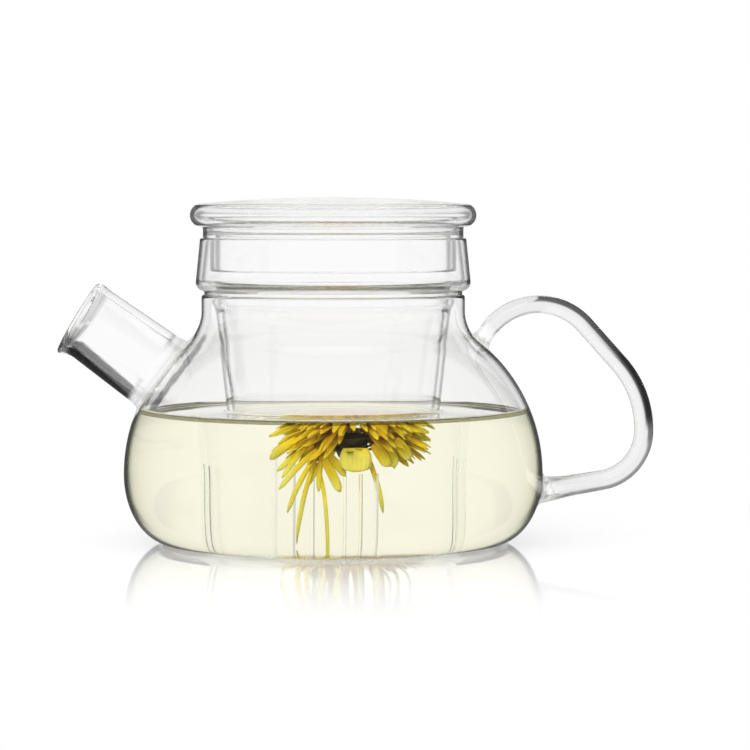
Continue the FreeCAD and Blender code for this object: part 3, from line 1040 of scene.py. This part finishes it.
def add_petal(
    mesh, root, heading, slope, length, width, droop, roll=0.0, twist=0.0, bow=0.0, waist=0.55, tone_and_shade=0.0
):
    """One strap-shaped petal from root, aimed by heading and slope in degrees, that droops on its way."""
    blade = bmesh.ops.create_grid(mesh, x_segments=4, y_segments=10, size=0.5, calc_uvs=True)["verts"]
    layer = mesh.verts.layers.float["tone_and_shade"]
    turn = Matrix.Rotation(math.radians(heading), 3, "Z")
    spine = [Vector((0, 0, 0))]
    for step in range(PETAL_STEPS):
        lean = math.radians(slope - droop * (step + 0.5) / PETAL_STEPS)
        spine.append(spine[-1] + Vector((math.cos(lean), 0, math.sin(lean))) * (length / PETAL_STEPS))
    for vert in blade:
        along = vert.co.y + 0.5
        across = vert.co.x * 2
        swell = waist + (1 - waist) * math.sin(math.pi * (0.85 * along) ** 0.8)
        end = max(0.0, (along - PETAL_TIP) / (1 - PETAL_TIP))
        half = width / 2 * swell * (0.2 + 0.8 * math.sqrt(1 - min(1.0, end) ** 2))
        low = min(int(along * PETAL_STEPS), PETAL_STEPS - 1)
        middle = spine[low].lerp(spine[low + 1], along * PETAL_STEPS - low)
        lean = math.radians(slope - droop * along)
        level = Vector((0, 1, 0))
        upright = Vector((-math.sin(lean), 0, math.cos(lean)))
        turned = math.radians(roll + twist * along)
        side = level * math.cos(turned) + upright * math.sin(turned)
        face = upright * math.cos(turned) - level * math.sin(turned)
        point = middle + side * (across * half) + face * (abs(across) * half * PETAL_CUP)
        point += level * (bow * along * along)
        vert.co = turn @ point + root
        vert[layer] = tone_and_shade
    return blade


def ring_point(heading, radius, rise):
    """A point at a heading in degrees, a radius out and a rise up."""
    swing = math.radians(heading)
    return Vector((math.cos(swing) * radius, math.sin(swing) * radius, rise))


def in_gap(heading, spread=0.4):
    """True where the petals part and show the calyx."""
    off = (math.radians(heading) - CALYX_FRONT + math.pi) % math.tau - math.pi
    return -spread - 0.05 < off < spread


def new_flower_mesh():
    mesh = bmesh.new()
    mesh.loops.layers.uv.new("petal")
    mesh.verts.layers.float.new("tone_and_shade")
    return mesh


def make_petals():
    mesh = new_flower_mesh()
    # count, slope, length, width, droop, root radius, root rise, half of the gap at the front
    whorls = (
        (58, 8, 13.2, 1.4, 14, 3.5, 1.8, 0.0),
        (62, 2, 14.6, 1.4, 14, 3.8, 0.6, 0.0),
        (62, -3, 15.0, 1.4, 14, 4.0, -0.8, 0.0),
        (60, -7, 15.0, 1.4, 14, 4.0, -2.4, 0.2),
        (56, -10, 14.8, 1.5, 14, 4.0, -4.0, 0.36),
        (50, -14, 14.0, 1.6, 15, 4.0, -5.6, 0.55),
        (36, -20, 11.4, 1.8, 18, 3.6, -6.8, 0.65),
    )
    for count, slope, length, width, droop, radius, rise, gap in whorls:
        for place in range(count):
            heading = 360 * (place + chance.uniform(-0.35, 0.35)) / count + slope * 7
            steep = slope + chance.uniform(-6, 6)
            reach = length * chance.uniform(0.78, 1.06)
            wide = width * chance.uniform(0.75, 1.2)
            fall = droop + chance.uniform(-10, 12)
            twist = chance.uniform(-50, 50)
            bow = chance.uniform(-1.6, 1.6)
            # a random shift, plus painted light: petals that point along x, to the flower's sides, are made
            # yellower than those that point front and back, so the middle looks shaded
            tone_and_shade = chance.uniform(0.05, 0.25) + 0.15 * abs(math.cos(math.radians(heading))) ** 3
            if in_gap(heading, gap):
                continue
            root = FLOWER + ring_point(heading, radius, rise)
            add_petal(mesh, root, heading, steep, reach, wide, fall, 0, twist, bow, tone_and_shade=tone_and_shade)
    # broad inner petals that hang from the surface all round
    count = 26
    for place in range(count):
        heading = 360 * (place + chance.uniform(-0.3, 0.3)) / count
        root = FLOWER + ring_point(heading, 7.5, 3.6)
        reach = 7.0 if in_gap(heading) else 11.5 * chance.uniform(0.85, 1.1)
        steep = -48 + chance.uniform(-8, 8)
        tone_and_shade = chance.uniform(-0.02, 0.12)
        add_petal(mesh, root, heading, steep, reach, 4.6, 24, 0, chance.uniform(-16, 16), 0, 0.8, tone_and_shade)
    # petals that hang loose in front with their faces to the front:
    # root, heading, slope, length, width, droop, tone
    loose = (
        ((-3.7, -9.6, 26.3), 180, -38, 12.6, 1.3, 14, 0.4),
        ((-4.4, -9.0, 27.2), 180, -24, 10.4, 1.4, 20, 0.35),
        ((-4.4, -10.0, 24.6), 180, -58, 12.8, 1.2, 6, 0.4),
        ((-4.1, -10.2, 24.0), 180, -70, 15.0, 1.1, 6, 0.42),
        ((-2.6, -10.0, 25.0), 180, -80, 8.0, 1.3, 10, 0.3),
        ((-6.2, -9.4, 27.0), 180, -46, 9.0, 1.2, 10, 0.38),
        ((-1.4, -9.8, 25.4), 180, -52, 8.4, 1.3, 12, 0.35),
        ((-2.1, -10.0, 24.2), 0, -58, 8.2, 2.2, 8, 0.35),
        ((-1.6, -9.6, 25.6), 0, -42, 7.0, 1.9, 14, 0.3),
        ((-3.6, -9.8, 23.4), 0, -74, 17.8, 0.9, 16, 0.45),
        ((8.2, -9.4, 24.8), 0, -68, 12.0, 1.2, 10, 0.4),
        ((9.6, -9.6, 27.6), 0, -50, 6.2, 2.8, 10, 0.25),
        ((12.0, -9.2, 27.8), 0, -62, 6.0, 3.0, 6, 0.3),
        ((14.6, -8.4, 28.4), 0, -48, 5.6, 2.8, 8, 0.3),
        ((-8.5, -8.6, 28.4), 180, -30, 7.6, 2.0, 10, 0.35),
        ((5.4, -10.6, 26.8), 0, -90, 5.4, 7.6, 0, 0.62),
    )
    for root, heading, slope, length, width, droop, tone_and_shade in loose:
        sway = chance.uniform(-14, 14)
        pale = tone_and_shade + 0.18
        add_petal(mesh, Vector(root), heading, slope, length, width, droop, 90, sway, 0, 0.75, pale)
    heart = bmesh.ops.create_icosphere(mesh, subdivisions=3, radius=1.0, calc_uvs=True)["verts"]
    bmesh.ops.scale(mesh, vec=(7.2, 6.6, 3.8), verts=heart)
    bmesh.ops.translate(mesh, vec=FLOWER, verts=heart)
    for vert in mesh.verts:
        vert.co.z = max(min(vert.co.z, PETAL_CEILING), INFUSER_FLOOR + 0.2)
    return as_object("flower_petals", mesh, 80)


petals = make_petals()
thick = petals.modifiers.new("thickness", "SOLIDIFY")
thick.thickness = PETAL_SHEET * MM
thick.offset = 0
apply_steps(petals)
place_piece(petals, "infuser", "petal_yellow", ("flower_petals",), petal_yellow)


def make_calyx():
    """A small cup below the petals with a ring of short leaves."""
    mesh = new_flower_mesh()
    middle = FLOWER + Vector((-0.6, -5.0, -8.2))
    cup = bmesh.ops.create_cone(
        mesh, cap_ends=True, segments=24, radius1=2.6, radius2=5.0, depth=4.6, calc_uvs=True
    )["verts"]
    bmesh.ops.translate(mesh, vec=middle, verts=cup)
    count = 16
    for place in range(count):
        heading = 360 * place / count
        root = middle + ring_point(heading, 3.2, -1.0)
        add_petal(mesh, root, heading, 20 + 12 * (place % 3), 4.0, 2.0, 30, waist=0.9)
    return as_object("flower_calyx", mesh, 80)


calyx = make_calyx()
place_piece(calyx, "infuser", "calyx_green", ("flower_calyx",), calyx_green)
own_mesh(petals)
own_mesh(calyx)


FLOOR_RADIUS = 4000
FLOOR_DROP = 0.3
FLOOR_LIT = grey(0.7)
FLOOR_SEEN = grey(0.76)
FLOOR_ROUGHNESS = 0.06
POLISH_REACH = (0.06, 0.19)
GLOW_NEAR = 0.05
MIRRORED = 0.12


def mix_shaders(tree, share, first, second):
    made = add_node(tree, "ShaderNodeMixShader")
    tree.links.new(share, made.inputs["Fac"])
    tree.links.new(first, made.inputs[1])
    tree.links.new(second, made.inputs[2])
    return made.outputs["Shader"]


def make_floor():
    """A white floor whose polish fades away from the pot, so that the mirror image fades too."""
    mesh = bmesh.new()
    bmesh.ops.create_circle(mesh, cap_ends=True, radius=FLOOR_RADIUS, segments=64)
    bmesh.ops.translate(mesh, vec=(0, 0, -FLOOR_DROP), verts=mesh.verts[:])
    floor = as_object("floor", mesh)
    material, tree, shader = new_material("floor_white")
    path = add_node(tree, "ShaderNodeLightPath")
    seen = work_out(tree, "MAXIMUM", path.outputs["Is Camera Ray"], path.outputs["Is Transmission Ray"])
    paint = mix_colours(tree, seen, (*FLOOR_LIT, 1), (*FLOOR_SEEN, 1))
    tree.links.new(paint, shader.inputs["Base Color"])
    shader.inputs["Roughness"].default_value = FLOOR_ROUGHNESS
    place = add_node(tree, "ShaderNodeTexCoord")
    reach = add_node(tree, "ShaderNodeVectorMath", operation="LENGTH")
    tree.links.new(place.outputs["Object"], reach.inputs[0])
    polish = map_value(
        tree, reach.outputs["Value"], POLISH_REACH, (1.0, 0.0), interpolation_type="SMOOTHSTEP"
    )
    tree.links.new(polish, shader.inputs["Specular IOR Level"])
    # away from the pot the floor shines white of itself, and mirrored in the glass it is dim
    glow = add_node(tree, "ShaderNodeEmission").outputs["Emission"]
    far = work_out(tree, "MULTIPLY_ADD", polish, GLOW_NEAR - 1.0, 1.0)
    share = work_out(tree, "MULTIPLY", seen, far)
    dim = add_node(tree, "ShaderNodeEmission")
    dim.inputs["Color"].default_value = (*grey(MIRRORED), 1)
    lift = mix_shaders(tree, share, shader.outputs["BSDF"], glow)
    image = mix_shaders(tree, mirror_rays(tree, path), lift, dim.outputs["Emission"])
    tree.links.new(image, tree.nodes["Material Output"].inputs["Surface"])
    floor.data.materials.append(material)


make_floor()

scene = bpy.context.scene
world = bpy.data.worlds.new("studio")
scene.world = world
world.use_nodes = True
sky = world.node_tree
backdrop = sky.nodes["Background"]
backdrop.inputs["Color"].default_value = WHITE
sky_mirrored = mirror_rays(sky, add_node(sky, "ShaderNodeLightPath"))
sky_level = map_value(sky, sky_mirrored, (0.0, 1.0), (1.0, MIRRORED))
sky.links.new(sky_level, backdrop.inputs["Strength"])

LAMP_PLACE = (-0.2, -0.6, 0.55)
LAMP_AIM = Vector((0, 0, 0.04))
lamp_data = bpy.data.lights.new("softbox", "AREA")
lamp_data.shape = "RECTANGLE"
lamp_data.size = 0.5
lamp_data.size_y = 0.4
lamp_data.energy = 6.0
lamp = bpy.data.objects.new("softbox", lamp_data)
scene.collection.objects.link(lamp)
lamp.location = LAMP_PLACE
lamp.visible_glossy = False
lamp.visible_transmission = False
lamp.rotation_euler = (LAMP_AIM - lamp.location).to_track_quat("-Z", "Y").to_euler()

CAMERA_X = 0.0125
CAMERA_DISTANCE = 0.93
CAMERA_HEIGHT = 0.102
AIM_HEIGHT = 0.05
VIEW_WIDTH = 0.225
SENSOR = 36
camera_data = bpy.data.cameras.new("camera")
camera = bpy.data.objects.new("camera", camera_data)
scene.collection.objects.link(camera)
aim = Vector((CAMERA_X, 0, AIM_HEIGHT))
camera.location = (CAMERA_X, -CAMERA_DISTANCE, CAMERA_HEIGHT)
camera.rotation_euler = (aim - camera.location).to_track_quat("-Z", "Y").to_euler()
camera_data.sensor_width = SENSOR
camera_data.lens = SENSOR * (aim - camera.location).length / VIEW_WIDTH
scene.camera = camera

scene.view_settings.view_transform = "Standard"
scene.cycles.max_bounces = 32
scene.cycles.transmission_bounces = 32
scene.cycles.glossy_bounces = 12
scene.cycles.transparent_max_bounces = 16
